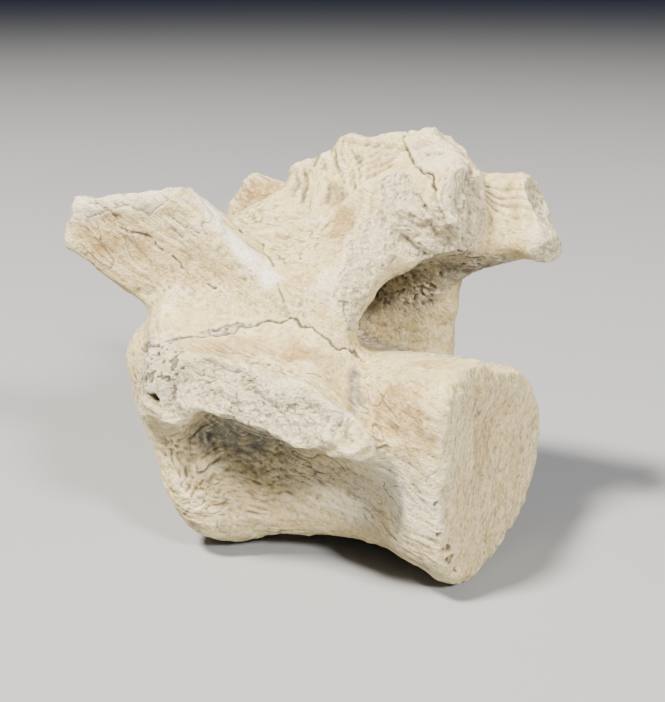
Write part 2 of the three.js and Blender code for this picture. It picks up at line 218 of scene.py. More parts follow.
def whole_skin():
    """One closed fine surface round copies of all the solids."""
    bm = bmesh.new()
    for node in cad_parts.values():
        bm.from_mesh(node.data)
    bmesh.ops.remove_doubles(bm, verts=bm.verts, dist=MERGE_WITHIN)
    bm.normal_update()
    for vert in bm.verts:
        vert.co += vert.normal * SWELL_MM * MM
    mesh = bpy.data.meshes.new("skin")
    bm.to_mesh(mesh)
    bm.free()
    skin = new_object("skin", mesh)
    remesh = skin.modifiers.new("one_surface", "REMESH")
    remesh.mode = "VOXEL"
    remesh.voxel_size = VOXEL_MM * MM
    smooth = skin.modifiers.new("worn", "SMOOTH")
    smooth.factor = 0.5
    smooth.iterations = int(round(2 * (WORN_MM / VOXEL_MM) ** 2))
    graph = bpy.context.evaluated_depsgraph_get()
    fine = bpy.data.meshes.new_from_object(skin.evaluated_get(graph))
    bpy.data.objects.remove(skin)
    return fine


def bone_points(mesh):
    """A mesh's points and the way each faces, in the bone's own frame."""
    at = np.empty(len(mesh.vertices) * 3)
    mesh.vertices.foreach_get("co", at)
    facing = np.empty(len(mesh.vertices) * 3)
    mesh.vertex_normals.foreach_get("vector", facing)
    return (at.reshape(-1, 3) / MM - PLACE_MM) @ AXES, facing.reshape(-1, 3) @ AXES


def lay_down(mesh, p):
    """Puts points in the bone's own frame back on the mesh. None goes below the table."""
    at = (p @ AXES.T + PLACE_MM) * MM
    at[:, 2] = np.maximum(at[:, 2], 0)
    mesh.vertices.foreach_set("co", at.ravel())
    mesh.update()


# Broken ends: a point of each broken face, the way it faces, the middle of the face, its reach along each
# axis, and how spongy it shows.
BREAKS = {
    "spine top": ((0, 0, 88.5), (-0.08, 0, 1), (5, 0, 88), (30, 13, 6), 0.5),
    "spine slope": ((-18, 0, 81.5), (-0.4, 0, 0.92), (-24, 0, 79), (15, 13, 8), 0.3),
    "spine tail slope": ((18, 0, 87), (0.56, 0, 0.83), (20, 0, 84), (14, 13, 10), 0.1),
    "left rear joint end": ((30, -10, 70), (1, -0.1, 0.28), (30, -12, 68), (7, 14, 14), 0.9),
    "left rear joint side": ((24, -20, 62), (0.25, -0.75, -0.6), (23, -20, 62), (13, 9, 11), 0.9),
    "right rear joint end": ((43, 12, 74.5), (0.87, 0, 0.46), (43, 12, 71), (10, 16, 15), 1.0),
    "right rear joint tip": ((48, 12, 63), (1, 0, -0.3), (47, 12, 61), (8, 14, 9), 1.0),
    "left front joint top": ((-61, -48, 57), (-0.24, 0, 0.97), (-57, -48, 58), (28, 11, 10), 0.8),
    "left front joint end": ((-74, -49, 48), (-0.9, -0.3, 0.25), (-73, -50, 48), (9, 11, 15), 0.7),
    "left process": ((-6, -52, 6), (0.12, -1, -0.1), (-3, -52, 7), (40, 8, 15), 0.75),
    "left process head": ((-41, -48, 8), (-0.75, -0.65, 0), (-40, -49, 8), (14, 12, 15), 0.9),
    "left process tail": ((25, -46, 2), (0.6, -0.8, 0), (26, -45, 3), (10, 8, 9), 0.1),
    "right process": ((-12, 61, -8), (-0.1, 1, -0.2), (-13, 61, -6), (36, 9, 14), 0.8),
}
EDGE_MM = 1.4  # how far broken edges are drawn out again to be crisp
EDGE_BEHIND_MM = (-9, -1)  # how far behind the break that starts, and where it is full
BROKEN_BEHIND_MM = (-3.2, -1.6)  # how close to the break the skin counts as broken
BROKEN_FACING = (0.45, 0.8)  # and how squarely it has to face the break's way, as a cosine
WAVE_MM = 13  # a broken face's slow waves: their length and height, and each one's direction and phase
WAVE_HEIGHT_MM = 0.45
WAVES = ((1, 0.3, 0.2, 0), (-0.4, 0.9, 0.7, 2), (0.8, -0.6, 1, 4))


def broken_height(p):
    """How far a broken face stands out or lies back: the same slow waves as the solids have."""
    turn = 2 * math.pi / WAVE_MM
    total = np.zeros(len(p))
    for *run, phase in WAVES:
        total += np.sin((p @ np.array(run, float)) * turn + phase)
    return WAVE_HEIGHT_MM * total


def crisp_breaks(p, facing):
    """Draws the worn edges of broken faces out again, and trims them at the break."""
    out = p.copy()
    spongy = np.zeros(len(p))
    for point, way, middle, reach, much in BREAKS.values():
        way = np.array(way, float) / np.linalg.norm(way)
        here = np.where(np.abs((p - middle) / reach).max(1) < 1)[0]
        q = p[here]
        inside = near(q, middle, reach, 0.75)
        height = (q - point) @ way - broken_height(q)
        rim = fade(height, *EDGE_BEHIND_MM) * inside
        q = q + facing[here] * (EDGE_MM * rim)[:, None]
        past = (q - point) @ way - broken_height(q)
        q -= way * (np.maximum(past, 0) * inside)[:, None]
        out[here] += q - p[here]
        flat = fade(facing[here] @ way, *BROKEN_FACING) * fade(height, *BROKEN_BEHIND_MM) * inside
        spongy[here] = np.maximum(spongy[here], flat * much)
    return out, spongy


# The finishes: how much each point of the skin has of them, from 0 to 1. Two run from -1 to 1: fibre, from
# the groove between two fibres to the top of one, and hollow, from a ridge to a pit. Arch says where the
# fibres run as on the arch, and not as on the body.
FINISHES = ("crack", "spongy", "stain", "grey", "polish_and_painted_highlight", "pale", "fibre", "hollow", "arch", "dirt_and_painted_shade")


def show(look, name, much):
    """Lays a finish on: the strongest counts where two meet."""
    look[name] = np.maximum(look[name], np.clip(much, 0, 1))


def within(mask, make):
    """What make gives for the numbers of the points under a mask, times the mask."""
    out = np.zeros(len(mask))
    here = np.where(mask > 0.01)[0]
    if len(here):
        out[here] = mask[here] * make(here)
    return out


def furrows(p, run, length, width, seed, thin=0.2):
    """1 along thin branching lines drawn out along a direction, 0 between them."""
    return np.exp(-((streaks(p, run, length, width, seed) / thin) ** 2))


def pits(p, size, seed, share=0.5):
    """1 in small ragged pits, 0 between them, and more of them in some places than in others."""
    more = 0.25 * noise(p, size * 4, seed + 9)
    return fade(grain(p, size, seed, 2) + more, 0.85 - share, 1.15 - share)


# Cracks: the points that each runs through, its width and depth, and how dark it shows.
CRACKS = {
    "front joint": (
        (
            (-60, -54, 54), (-58, -53, 53), (-54, -50, 48), (-47, -48, 47),
            (-43, -45, 44), (-37, -41, 39), (-29, -38, 36),
        ),
        0.36, 0.9, 1.0,
    ),
    "arch side": (((-21, -30, 50), (-16, -33, 46), (-11, -35, 40), (-8, -35, 36)), 0.45, 0.5, 0.7),
    "spine fragment": (
        (
            (4, 4, 90), (7, -8, 87), (10, -10, 82), (19, -19, 77),
            (23, -20, 75), (26, -21, 70), (29, -19, 65), (31, -16, 61),
        ),
        0.42, 1.3, 1.0,
    ),
    "process edge": (
        ((-6, -47, 19), (3, -45, 17), (11, -47, 14), (18, -47, 11), (25, -46, 6)),
        0.4, 0.5, 0.6,
    ),
    "process table": (
        ((-27, -55, 15), (-19, -54, 14), (-5, -51, 16), (4, -46, 18), (9, -42, 18), (12, -38, 18)),
        0.3, 0.6, 0.65,
    ),
    # A groove in the crease under the tail end of the left process, darkened fully as a crack and as painted
    # shade.
    "process end": (
        ((16, -42, -3), (20, -45, -1.5), (25, -43.5, -0.5), (28, -40, 0.5), (31, -37, 2)),
        1.3, 1.8, 1.0,
    ),
    "right of spine": (((2, 9, 88), (4, 14, 78), (3, 19, 70), (8, 25, 62)), 0.5, 0.7, 0.8),
    "right pedicle": (((-30, 38, 36), (-18, 36, 41), (-6, 33, 47), (6, 29, 52)), 0.45, 0.6, 0.7),
    "keel": (((-34, -4, -37), (-20, 3, -29), (-6, 1, -26), (9, 4, -28)), 0.4, 0.5, 0.6),
}


# How a crack strays from the straight: in waves of about this size, this far, and from this seed.
CRACK_WAVES, CRACK_SWING, CRACK_SEED = 3.2, 0.75, 200


def box_round(p, stops, margin):
    """The numbers of the points in the box round a line's stops, to save work on all the others."""
    low, high = np.min(stops, 0) - margin, np.max(stops, 0) + margin
    return np.where(((p > low) & (p < high)).all(1))[0]


def draw_cracks(p, look):
    """The cracks that were glued, jagged, and open in some places more than in others."""
    relief = np.zeros(len(p))
    for number, (stops, width, depth, dark) in enumerate(CRACKS.values()):
        here = box_round(p, stops, 4)
        q = wander(p[here], CRACK_WAVES, CRACK_SWING, CRACK_SEED + number)
        far = off_line(q, stops) / (width * (1.0 + 0.4 * noise(p[here], 5, 230 + number)))
        cut = np.exp(-(far**2)) * (0.75 + 0.25 * noise(p[here], 8, 260 + number))
        relief[here] -= depth * cut
        deep = np.zeros(len(p))
        deep[here] = dark * cut
        show(look, "crack", deep)
    return relief


# The line where the arch grew on to the body: its height at places along the bone, on both sides.
SUTURE_AT = (-60, -54, -46, -32, -24, -16, -6, 2, 9, 15, 24)
SUTURE_HEIGHT = (34, 22, 15, 19, 22, 27, 31, 29, 26, 23, 34)
SUTURE_WIDTH = 0.42
INFILL_TOP = 2.6  # how high above the suture the stone in it reaches


def draw_suture(p, look):
    """The unfused join of arch and body: a ragged furrow, filled with grey stone towards the head end."""
    q = wander(p, 4, 1.1, 300)
    q = wander(q, 1.4, 0.35, 305)
    height = q[:, 2] - np.interp(q[:, 0], SUTURE_AT, SUTURE_HEIGHT)
    far = np.abs(height)
    side = fade(np.abs(p[:, 1]), 22, 26) * (1 - fade(p[:, 0], 13, 17)) * fade(p[:, 0], -50, -46)
    open_here = 0.72 + 0.28 * noise(p, 7, 301)
    cut = np.exp(-((far / SUTURE_WIDTH) ** 2)) * side * open_here
    band = fade(noise(p, 6, 302), -0.6, 0.2) * fade(-p[:, 0], 8, 14)
    filled = fade(height, 0.1, 0.4) * (1 - fade(height, 2.0, 2.9)) * side * band
    edge = np.exp(-(((height - INFILL_TOP) / 0.35) ** 2)) * side * band
    show(look, "grey", filled)
    show(look, "crack", np.maximum(0.95 * cut, 0.6 * edge))
    rubble = within(filled, lambda n: grain(p[n], 1.5, 303, 2))
    return 0.5 * rubble - 1.0 * cut - 0.4 * edge - 0.4 * filled


# Ridges and grooves: the points that each runs through, its width, and its height, below 0 for a groove.
RIDGES = {
    "above the crest": (((-20, -20, 60), (-13, -17, 65), (-3, -12, 72), (3, -12, 78)), 3.6, -1.3),
    "below the crest": (((-18, -30, 50), (-9, -25, 58), (-2, -22, 62), (4, -22, 65)), 4.2, -0.9),
    "crest": (((-22, -27, 53), (-15, -22, 59), (-4, -17, 66), (3, -17, 71), (6, -15, 75)), 2.8, 1.7),
    "shoulder": (((2, -17, 71), (8, -17, 73), (13, -18, 74), (20, -19, 73), (26, -19, 70)), 2.4, 1.3),
    "rough edge": (((4, -18, 70), (3, -21, 63), (4, -26, 55), (7, -31, 48), (7, -33, 38)), 1.5, 0.8),
    "beside the fragment": (((29, -8, 80), (31, -8, 74), (32, -10, 68), (33, -11, 62)), 2.0, -1.7),
    "top notch": (((-6, -9, 89), (-2, -3, 90), (1, 4, 90)), 2.6, -3.0),
    "upper edge": (((-42, -47, 62), (-36, -40, 59), (-27, -28, 54), (-22, -27, 53)), 3.0, 0.8),
    "glossy ridge": (((-27, -38, 52), (-20, -37, 47), (-14, -36, 42), (-7, -34, 37)), 3.6, 0.7),
    "pedicle tail edge": (
        ((18, -22, 56), (16, -26, 50), (14, -27, 44), (12, -26, 37), (15, -26, 24)),
        2.6, 0.5,
    ),
    "process tail edge": (((8, -48, 15), (15, -48, 12), (22, -48, 8), (27, -44, 3)), 2.4, 0.6),
    "low ridge": (
        ((-22, -28, -20), (-10, -22, -19), (1, -18, -18), (13, -16, -20), (31, -19, -25)),
        4.0, 0.6,
    ),
    "tail rim": (
        (
            (44, -30, 24), (45, -36, 17), (45, -35, 7), (45, -30, -6),
            (45, -25, -17), (45, -19, -27), (45, -7, -33),
        ),
        3.0, 0.45,
    ),
    "side groove": (
        ((32, -36, 17), (37, -37, 11), (42, -36, 4), (45, -32, -4), (46, -26, -12)),
        2.2, -0.8,
    ),
    "notch groove": (((16, -31, 19), (16, -32, 16), (18, -34, 12), (22, -39, 8)), 2.4, -1.3),
    "tail face groove": (
        ((46, -20, 24), (45, -11, 11), (45, -6, 1), (45, 2, -11), (46, 7, -22)),
        3.4, -1.3,
    ),
    "keel hollow": (((-22, -8, -28), (-6, -6, -27), (12, -6, -28), (26, -8, -31)), 9.0, -1.5),
    "right crest": (((-22, 27, 53), (-15, 22, 59), (-4, 17, 66), (3, 17, 71), (8, 14, 76)), 3.4, 1.0),
    "right side groove": (((34, 36, 10), (38, 35, 2), (41, 31, -8), (43, 24, -18)), 2.4, -0.7),
}


def draw_ridges(p):
    """Edges and channels that stand out of the smoothed form or lie in it."""
    relief = np.zeros(len(p))
    for number, (stops, width, height) in enumerate(RIDGES.values()):
        here = box_round(p, stops, 3 * width)
        far = off_line(wander(p[here], 6, 0.8, 320 + number), stops) / width
        swell = np.exp(-(far**2)) * (0.8 + 0.2 * noise(p[here], 9, 340 + number))
        relief[here] += height * swell
    return relief


# The edge of the fragment that was glued on: its height, and how far back it lies there.
FRAGMENT_EDGE_Z = (61, 65, 70, 75, 77, 82, 87)
FRAGMENT_EDGE_X = (31, 29, 26, 23, 19, 10, 7)
FRAGMENT_STEP = 0.75


def fragment(p, look):
    """The loose piece of the spine and rear joint, glued on a little proud, up to its crack."""
    edge = np.interp(p[:, 2], FRAGMENT_EDGE_Z, FRAGMENT_EDGE_X)
    number = list(CRACKS).index("spine fragment")
    q = wander(p, CRACK_WAVES, CRACK_SWING, CRACK_SEED + number)
    beyond = fade(q[:, 0] - edge, 0.2, 0.9) * (1 - fade(p[:, 1], -2, 4)) * fade(p[:, 2], 60, 63)
    top = near(p, (17, -13, 82), (15, 11, 9), 0.7) * fade(q[:, 0] - edge, 0.6, 2)
    show(look, "pale", 0.55 * top)
    return FRAGMENT_STEP * beyond


FLUTES_RUN = (-0.33, 0.49, 0.81)
CURVED_LINES_MIDDLE = (8.0, -10, 66)
CURVED_LINES_APART = 1.7


def flutes(p, look):
    """The fluted foot of the broken spine, and the fine curved lines beside it."""
    bent = wander(p, 13, 2.4, 350)
    zone = near(p, (-15, -12, 75), (17, 11, 15), 0.6)
    wave = within(zone, lambda n: streaks(bent[n], FLUTES_RUN, 16, 1.9, 351))
    fine = within(zone, lambda n: streaks(bent[n], FLUTES_RUN, 9, 0.8, 352))
    beside = near(p, (-2, -12, 78), (13, 8, 12), 0.5)
    ring = 2 * math.pi * np.linalg.norm(bent - CURVED_LINES_MIDDLE, axis=1) / CURVED_LINES_APART
    lines = within(beside, lambda n: np.sin(ring[n]) * (0.5 + 0.5 * noise(p[n], 4, 353)))
    show(look, "crack", 0.45 * fade(-wave, 0.25, 0.6))
    return 0.62 * wave + 0.15 * fine + 0.13 * lines


# The torn face from the root of the rear joint down the pedicle: its middle line, and its half-widths there.
ROUGH_ZONE = ((13, -19, 71), (15, -22, 64), (13, -25, 55), (10, -30, 45), (11, -29, 34))
ROUGH_ZONE_WIDTH = (7, 10, 8, 6, 4.5)


def rough_zone(p, look):
    """The torn, spongy face below the rear joint, sunk a little below the whole bone round it."""
    q = wander(p, 6, 2.2, 360)
    q = wander(q, 2, 0.6, 365)
    zone = 1 - fade(off_line(q, ROUGH_ZONE, ROUGH_ZONE_WIDTH), 0.88, 1)
    zone *= 1 - fade(p[:, 1], -8, -4)
    show(look, "spongy", 0.8 * zone)
    lumps = within(zone, lambda n: torn(p[n], 5.5, 366, 2))
    return 0.55 * lumps - 0.5 * zone


# The stepped edge on the side of the left front joint: places along the bone, and its height there.
STEPPED_EDGE_X = (-74, -66, -62, -58, -52, -47, -44, -41, -39)
STEPPED_EDGE_Z = (49, 48, 51, 52, 54, 52, 55, 58, 61)
STEP_DEPTH = 0.7


def front_joint(p, look):
    """The side of the left front joint: above a stepped edge the outer layer has flaked away."""
    edge = np.interp(p[:, 0], STEPPED_EDGE_X, STEPPED_EDGE_Z)
    edge = edge + 0.9 * grain(p, 4.5, 370, 2)
    side = (1 - fade(p[:, 1], -47, -42)) * (1 - fade(p[:, 0], -42, -38)) * fade(p[:, 0], -84, -74)
    above = fade(p[:, 2] - edge, 0, 0.8) * side
    show(look, "pale", 0.8 * above)
    step = np.exp(-(((p[:, 2] - edge) / 0.6) ** 2)) * side
    show(look, "crack", 0.55 * step * fade(noise(p, 5, 371), -0.5, 0.3))
    return -STEP_DEPTH * above


def head_rim_folds(p, look):
    """Bark-like folds behind the rim of the head end, where muscle and ligament held on."""
    relief = np.zeros(len(p))
    bent = wander(p, 7, 2.2, 381)
    for side, much in ((-1, 1.0), (1, 0.8)):
        run = (0.5, -0.25 * side, 0.83)
        zone = near(p, (-30, side * 34, -14), (15, 13, 21), 0.4)
        waves = within(zone, lambda n: fibres(bent[n], run, 6, 2.3, 383))
        relief += much * 0.85 * waves
        show(look, "crack", 0.5 * much * fade(-waves, 0.3, 0.6))
    return relief


LEFT_BREAK_RUN = (1, 0.1, -0.2)
DEEP_HOLE = (-32.0, -56, 4)


def left_process(p, look):
    """The broken left process: short dark cracks along it, and a porous grey patch at its head end."""
    zone = near(p, (-2, -50, 10), (28, 10, 13), 0.6)
    bent = wander(p, 5, 1.8, 391)
    lines = within(zone, lambda n: furrows(bent[n], LEFT_BREAK_RUN, 4.5, 2.0, 390, 0.11))
    lines *= fade(noise(p, 5, 396), -0.1, 0.5)
    threads = within(zone, lambda n: fibres(bent[n], LEFT_BREAK_RUN, 7, 1.5, 392))
    show(look, "crack", 0.6 * lines)
    patch = near(wander(p, 6, 2.0, 393), (-32, -54, 12), (12, 8, 10), 0.6)
    holes = within(patch, lambda n: pits(p[n], 1.4, 394, 0.6))
    hole = 1 - fade(np.linalg.norm(wander(p, 3, 0.8, 395) - DEEP_HOLE, axis=1), 0.8, 2.6)
    show(look, "grey", 0.6 * patch)
    show(look, "crack", np.maximum(0.6 * holes, hole))
    # A small bleached, glossy flake, whitened further as a painted highlight.
    flake = near(p, (-24, -46, 3), (4.5, 4, 2.2), 0.6)
    show(look, "pale", flake)
    show(look, "polish_and_painted_highlight", 0.6 * flake)
    return 0.35 * threads - 0.4 * lines - 0.45 * holes - 2.2 * hole + 0.8 * flake + 0.3 * patch


# The end faces: the middle of each, its half-width and its half-height.
TAIL_FACE = ((2, 2), (37, 39))
HEAD_FACE = ((1, -2), (37, 36))


def rim_share(p, end_face):
    """0 at the middle of an end face and 1 at its rim."""
    (y, z), (half_width, half_height) = end_face
    return np.hypot((p[:, 1] - y) / half_width, (p[:, 2] - z) / half_height)


def tail_face(p, facing, look):
    """The hollowed face of the tail end: fine lines that follow the rim, and a dimple in the middle."""
    face = fade(facing[:, 0], 0.7, 0.9) * fade(p[:, 0], 38, 41) * (1 - fade(p[:, 2], 30, 33))
    out = rim_share(p, TAIL_FACE)
    bent = wander(p, 12, 2.0, 400)
    rings = np.sin(2 * math.pi * (out * 38 + 1.6 * noise(p, 9, 401)) / 1.5) * fade(out, 0.45, 0.8)
    rings *= fade(noise(p, 8, 402), -0.5, 0.6)
    lines = within(face, lambda n: streaks(bent[n], (0, 0.12, 1), 13, 0.9, 403))
    dimple = near(p, (45, 2, 9), (6, 13, 12), 0.2)
    look["fibre"] += face * (0.2 * rings + 0.35 * lines)
    return face * (0.05 * rings + 0.1 * lines + 0.14 * grain(p, 2.4, 404, 2) - 2.0 * dimple)


def head_face(p, facing, look):
    """The domed face of the head end, pitted where its smooth layer has worn through."""
    face = fade(-facing[:, 0], 0.7, 0.9) * (1 - fade(p[:, 0], -46, -43)) * (1 - fade(p[:, 2], 28, 31))
    out = rim_share(p, HEAD_FACE)
    rings = np.sin(2 * math.pi * (out * 37 + 1.8 * noise(p, 9, 411)) / 2.2) * fade(out, 0.5, 0.8)
    rings *= fade(noise(p, 8, 414), -0.5, 0.6)
    worn = face * fade(noise(p, 13, 412) + 0.5 * noise(p, 5, 413), 0.2, 0.35)
    show(look, "spongy", 0.75 * worn)
    look["fibre"] += 0.25 * face * rings
    return face * (0.07 * rings + 0.14 * grain(p, 2.6, 415, 2)) - 0.35 * worn


RIM_PITS = (
    (44, -29, -11),
    (43, -27, -15),
    (45, -25, -19),
    (45, -21, -22),
    (46, -18, -26),
    (46, -13, -29),
)
ARCH_SPECK = (-28.0, -32, 53)


def nutrient_pits(p, look):
    """Small vessel holes along the rim of the tail end, and one dark speck on the arch."""
    relief = np.zeros(len(p))
    here = box_round(p, RIM_PITS, 4)
    q = wander(p[here], 2.2, 1.1, 420)
    for number, spot in enumerate(RIM_PITS):
        size = 0.8 + 0.3 * math.sin(5 * number)
        hole = np.zeros(len(p))
        hole[here] = 1 - fade(np.linalg.norm(q - np.array(spot, float), axis=1), 0.4, 1.7 * size)
        relief -= 0.8 * hole
        show(look, "crack", 0.7 * hole)
    speck = 1 - fade(np.linalg.norm(p - ARCH_SPECK, axis=1), 0.3, 1.3)
    show(look, "crack", 0.9 * speck)
    return relief - 0.5 * speck


CANAL_HALF_WIDTH = 16.5


def canal(p, look):
    """The canal's walls, mottled with pits and left-over stone and lightened as painted light, and the
    hollow below the process, darkened as dirt and painted shade.
    """
    inside = 1 - fade(np.abs(p[:, 1]), CANAL_HALF_WIDTH - 0.5, CANAL_HALF_WIDTH + 2.5)
    inside *= fade(p[:, 2], 25, 27.5) * (1 - fade(p[:, 2], 57, 60))
    inside *= 1 - fade(np.abs(p[:, 0] + 2), 40, 46)
    blotch = fade(grain(p, 5, 431, 3), -0.2, 0.35)
    holes = within(inside, lambda n: pits(p[n], 2.2, 433, 0.4))
    # The walls' pale grey and cream are partly left-over stone and broken bone, and partly painted light in
    # the canal's shade.
    show(look, "grey", inside * (0.25 + 0.65 * blotch))
    show(look, "spongy", inside * 0.7)
    show(look, "stain", inside * 0.1 * (1 - blotch))
    show(look, "crack", 0.4 * holes)
    # The hollow below the left process, where its shadow falls, is darkened grey-black: dirt and painted
    # shade.
    under = near(wander(p, 8, 3.0, 436), (-12, -32, -5), (31, 15, 14), 0.4)
    show(look, "dirt_and_painted_shade", 0.9 * under)
    return within(inside, lambda n: 0.4 * torn(p[n], 4, 434, 3)) - 0.5 * holes


RIGHT_REAR_ROOT = (29.0, -4, 76)


def right_rear_joint(p, look):
    """Lines that fan out over the right rear joint from its root."""
    zone = near(p, (37, 4, 75), (11, 14, 12), 0.6)
    q = p - RIGHT_REAR_ROOT
    turn = np.arctan2(q[:, 2], q[:, 1])
    lines = within(zone, lambda n: np.sin(24 * turn[n] + 2.2 * noise(p[n], 5, 441)))
    show(look, "crack", 0.3 * fade(-lines, 0.6, 1))
    return 0.1 * lines


# Stains and pale places: the middle of each, its reach along each axis, and how strong it is.
STAINS = (
    ((-58, -50, 46), (17, 10, 10), 0.95),
    ((-60, 31, 70), (18, 12, 11), 1.0),
    ((0, -22, 60), (12, 11, 11), 1.0),
    ((-14, -46, 22), (18, 13, 6), 0.7),
    ((4, -38, 22), (11, 8, 8), 0.95),
    ((31, -37, 11), (17, 9, 13), 0.75),
    ((33, -30, 23), (12, 9, 5), 0.5),
    ((44, -28, -8), (6, 9, 10), 0.45),
    ((-47, -40, 0), (8, 9, 16), 0.4),
    ((-38, -46, 40), (9, 8, 7), 0.35),
    ((45, -2, 2), (5, 15, 17), 0.4),
    ((-22, -30, -20), (11, 12, 11), 0.2),
    ((10, 36, 8), (22, 8, 12), 0.5),
    ((-30, 40, 6), (14, 12, 14), 0.4),
    ((-10, 26, 52), (18, 9, 9), 0.4),
    ((-52, 0, 0), (10, 24, 22), 0.35),
    ((28, 14, 72), (10, 8, 8), 0.4),
)
PALE = (
    ((4, -34, 40), (9, 6, 12), 0.6),
    # This place, low on the left side towards the tail, is bleached bone and also whitened as painted light
    # on that lit side.
    ((32, -28, -10), (19, 13, 19), 0.85),
    ((12, -20, -16), (20, 12, 11), 0.5),
    ((-17, -37, 44), (14, 7, 8), 0.3),
    ((-40, -44, 30), (12, 8, 5), 0.35),
    ((-2, -52, 8), (30, 9, 9), 0.6),
    ((22, -44, 6), (12, 8, 6), 0.6),
    ((-16, 24, -20), (20, 12, 10), 0.4),
    ((24, 30, -10), (14, 12, 12), 0.4),
)
GLOSS_AND_HIGHLIGHT_LINE = ((-41, -46, 61), (-34, -41, 56), (-28, -38, 51), (-20, -37, 46), (-13, -36, 41))
GREY_STONE_LINE = ((15, -31, 22), (16, -32, 16), (18, -34, 12), (20, -37, 9))


def colour_zones(p, look):
    """Where the bone is stained brown, bleached, rubbed to a gloss and whitened there as painted highlight,
    or has grey stone left on it.
    """
    q = wander(p, 9, 4.0, 450)
    q = wander(q, 3, 1.2, 455)
    for centre, reach, much in STAINS:
        show(look, "stain", much * near(q, centre, reach, 0.35))
    for centre, reach, much in PALE:
        show(look, "pale", much * near(q, centre, reach, 0.3))
    # A glossy band, whitened to near white as a painted highlight.
    gloss = 1 - fade(off_line(wander(p, 5, 1.8, 460), GLOSS_AND_HIGHLIGHT_LINE), 2.0, 4.4)
    show(look, "polish_and_painted_highlight", gloss * fade(noise(p, 4, 461), -0.9, 0.0))
    stone = 1 - fade(off_line(wander(p, 4, 1.0, 465), GREY_STONE_LINE), 1.0, 2.4)
    show(look, "grey", stone)


# The way that the bone's fibres run on the left side. The right side mirrors it.
LEFT_ARCH_GRAIN = (-0.78, -0.46, 0.43)
LEFT_BODY_GRAIN = (0.96, 0.02, -0.27)


def bone_grain(p, facing, look):
    """The run of the bone's fibres: along the body's sides, and out along the front joints on the arch."""
    sign = np.where(p[:, 1] < 0, 1.0, -1.0)
    body = (1 - fade(p[:, 2], 14, 30)) * (1 - fade(np.abs(facing[:, 0]), 0.6, 0.85))
    arch = fade(p[:, 2], 26, 34) * (1 - fade(p[:, 0], 0, 14)) * fade(np.abs(p[:, 1]), 16, 22)
    look["arch"] = fade(p[:, 2], 22, 34)
    mirrored = p * np.stack([np.ones(len(p)), sign, np.ones(len(p))], 1)
    apart = np.array([0, 0, 40.0]) * (1 - sign)[:, None]
    shifted = wander(mirrored + apart, 15, 2.2, 474)
    patchy = 0.35 + 0.65 * fade(noise(p, 14, 473), -0.4, 0.4)
    total = np.zeros(len(p))
    for zone, run, length, width in ((body, LEFT_BODY_GRAIN, 20, 1.7), (arch, LEFT_ARCH_GRAIN, 15, 1.5)):
        threads = within(zone * patchy, lambda n: fibres(shifted[n], run, length, width, 470))
        few = zone * fade(noise(p, 13, 475), 0.05, 0.5)
        lines = within(few, lambda n: furrows(shifted[n], run, 9, 2.2, 472, 0.09))
        total += 0.4 * threads - 0.2 * lines
        look["fibre"] += 0.8 * threads
        show(look, "crack", 0.35 * lines)
    return total


def spongy_relief(p, look):
    """Broken, spongy bone: a torn, uneven face with small ragged pits."""
    mask = look["spongy"]
    holes = within(mask, lambda n: pits(p[n], 1.6, 480, 0.3))
    face = within(mask, lambda n: torn(p[n], 4.4, 483, 4))
    show(look, "crack", 0.35 * holes)
    return 0.5 * face - 0.35 * holes


def weather(p, facing, look):
    """The relief of the whole skin, in millimetres, with its finishes filled in."""
    relief = 0.35 * noise(p, 9, 1) + 0.27 * grain(p, 4.2, 2, 3)
    relief += rough_zone(p, look)
    relief += spongy_relief(p, look)
    relief += bone_grain(p, facing, look) * (1 - 0.8 * look["spongy"])
    relief += draw_ridges(p)
    relief += fragment(p, look)
    relief += flutes(p, look)
    relief += front_joint(p, look)
    relief += head_rim_folds(p, look)
    relief += left_process(p, look)
    relief += tail_face(p, facing, look)
    relief += head_face(p, facing, look)
    relief += right_rear_joint(p, look)
    relief += canal(p, look)
    relief += nutrient_pits(p, look)
    relief += draw_suture(p, look)
    relief += draw_cracks(p, look)
    colour_zones(p, look)
    return relief


# The skin is parted by flat cuts into closed pieces. Shading runs on over the cuts, so that none shows.
MIDDLE_X = -12
CANAL_Z = 36
RIGHT_PROCESS_Y = 42
LOWER_BODY_Z = -6
CUT_WITHIN = 1e-7  # a point this close to a cut, in metres, counts as on it


def halves(bm, point, way):
    """Two closed bodies, behind and in front of a plane in the bone's own frame."""
    at = Vector((AXES @ np.array(point, float) + PLACE_MM) * MM)
    way = Vector(AXES @ np.array(way, float))
    both = []
    for part, sign in ((bm, 1), (bm.copy(), -1)):
        geometry = part.verts[:] + part.edges[:] + part.faces[:]
        bmesh.ops.bisect_plane(
            part,
            geom=geometry,
            dist=CUT_WITHIN,
            plane_co=at,
            plane_no=way * sign,
            clear_outer=True,
        )
        rim = [edge for edge in part.edges if edge.is_boundary]
        bmesh.ops.edgeloop_fill(part, edges=rim)
        both.append(part)
    return both


def finish_piece(bm, name, nodes, material):
    """One piece of the skin as an object, shaded as the whole skin is."""
    for face in bm.faces:
        face.smooth = True
    mesh = bpy.data.meshes.new(name)
    bm.to_mesh(mesh)
    bm.free()
    facing = np.empty(len(mesh.vertices) * 3)
    mesh.attributes["facing"].data.foreach_get("vector", facing)
    facing = facing.reshape(-1, 3)
    facing /= np.linalg.norm(facing, axis=1)[:, None]
    mesh.normals_split_custom_set_from_vertices(facing.tolist())
    mesh.attributes.remove(mesh.attributes["facing"])
    mesh.materials.append(material)
    piece = new_object(name, mesh)
    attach(piece, "root")
    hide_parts(*nodes)


# Pits of two sizes: how many rounds of smoothing lose one, and how deep a full one is.
HOLLOW_SIZES = ((3, 0.07), (16, 0.3))


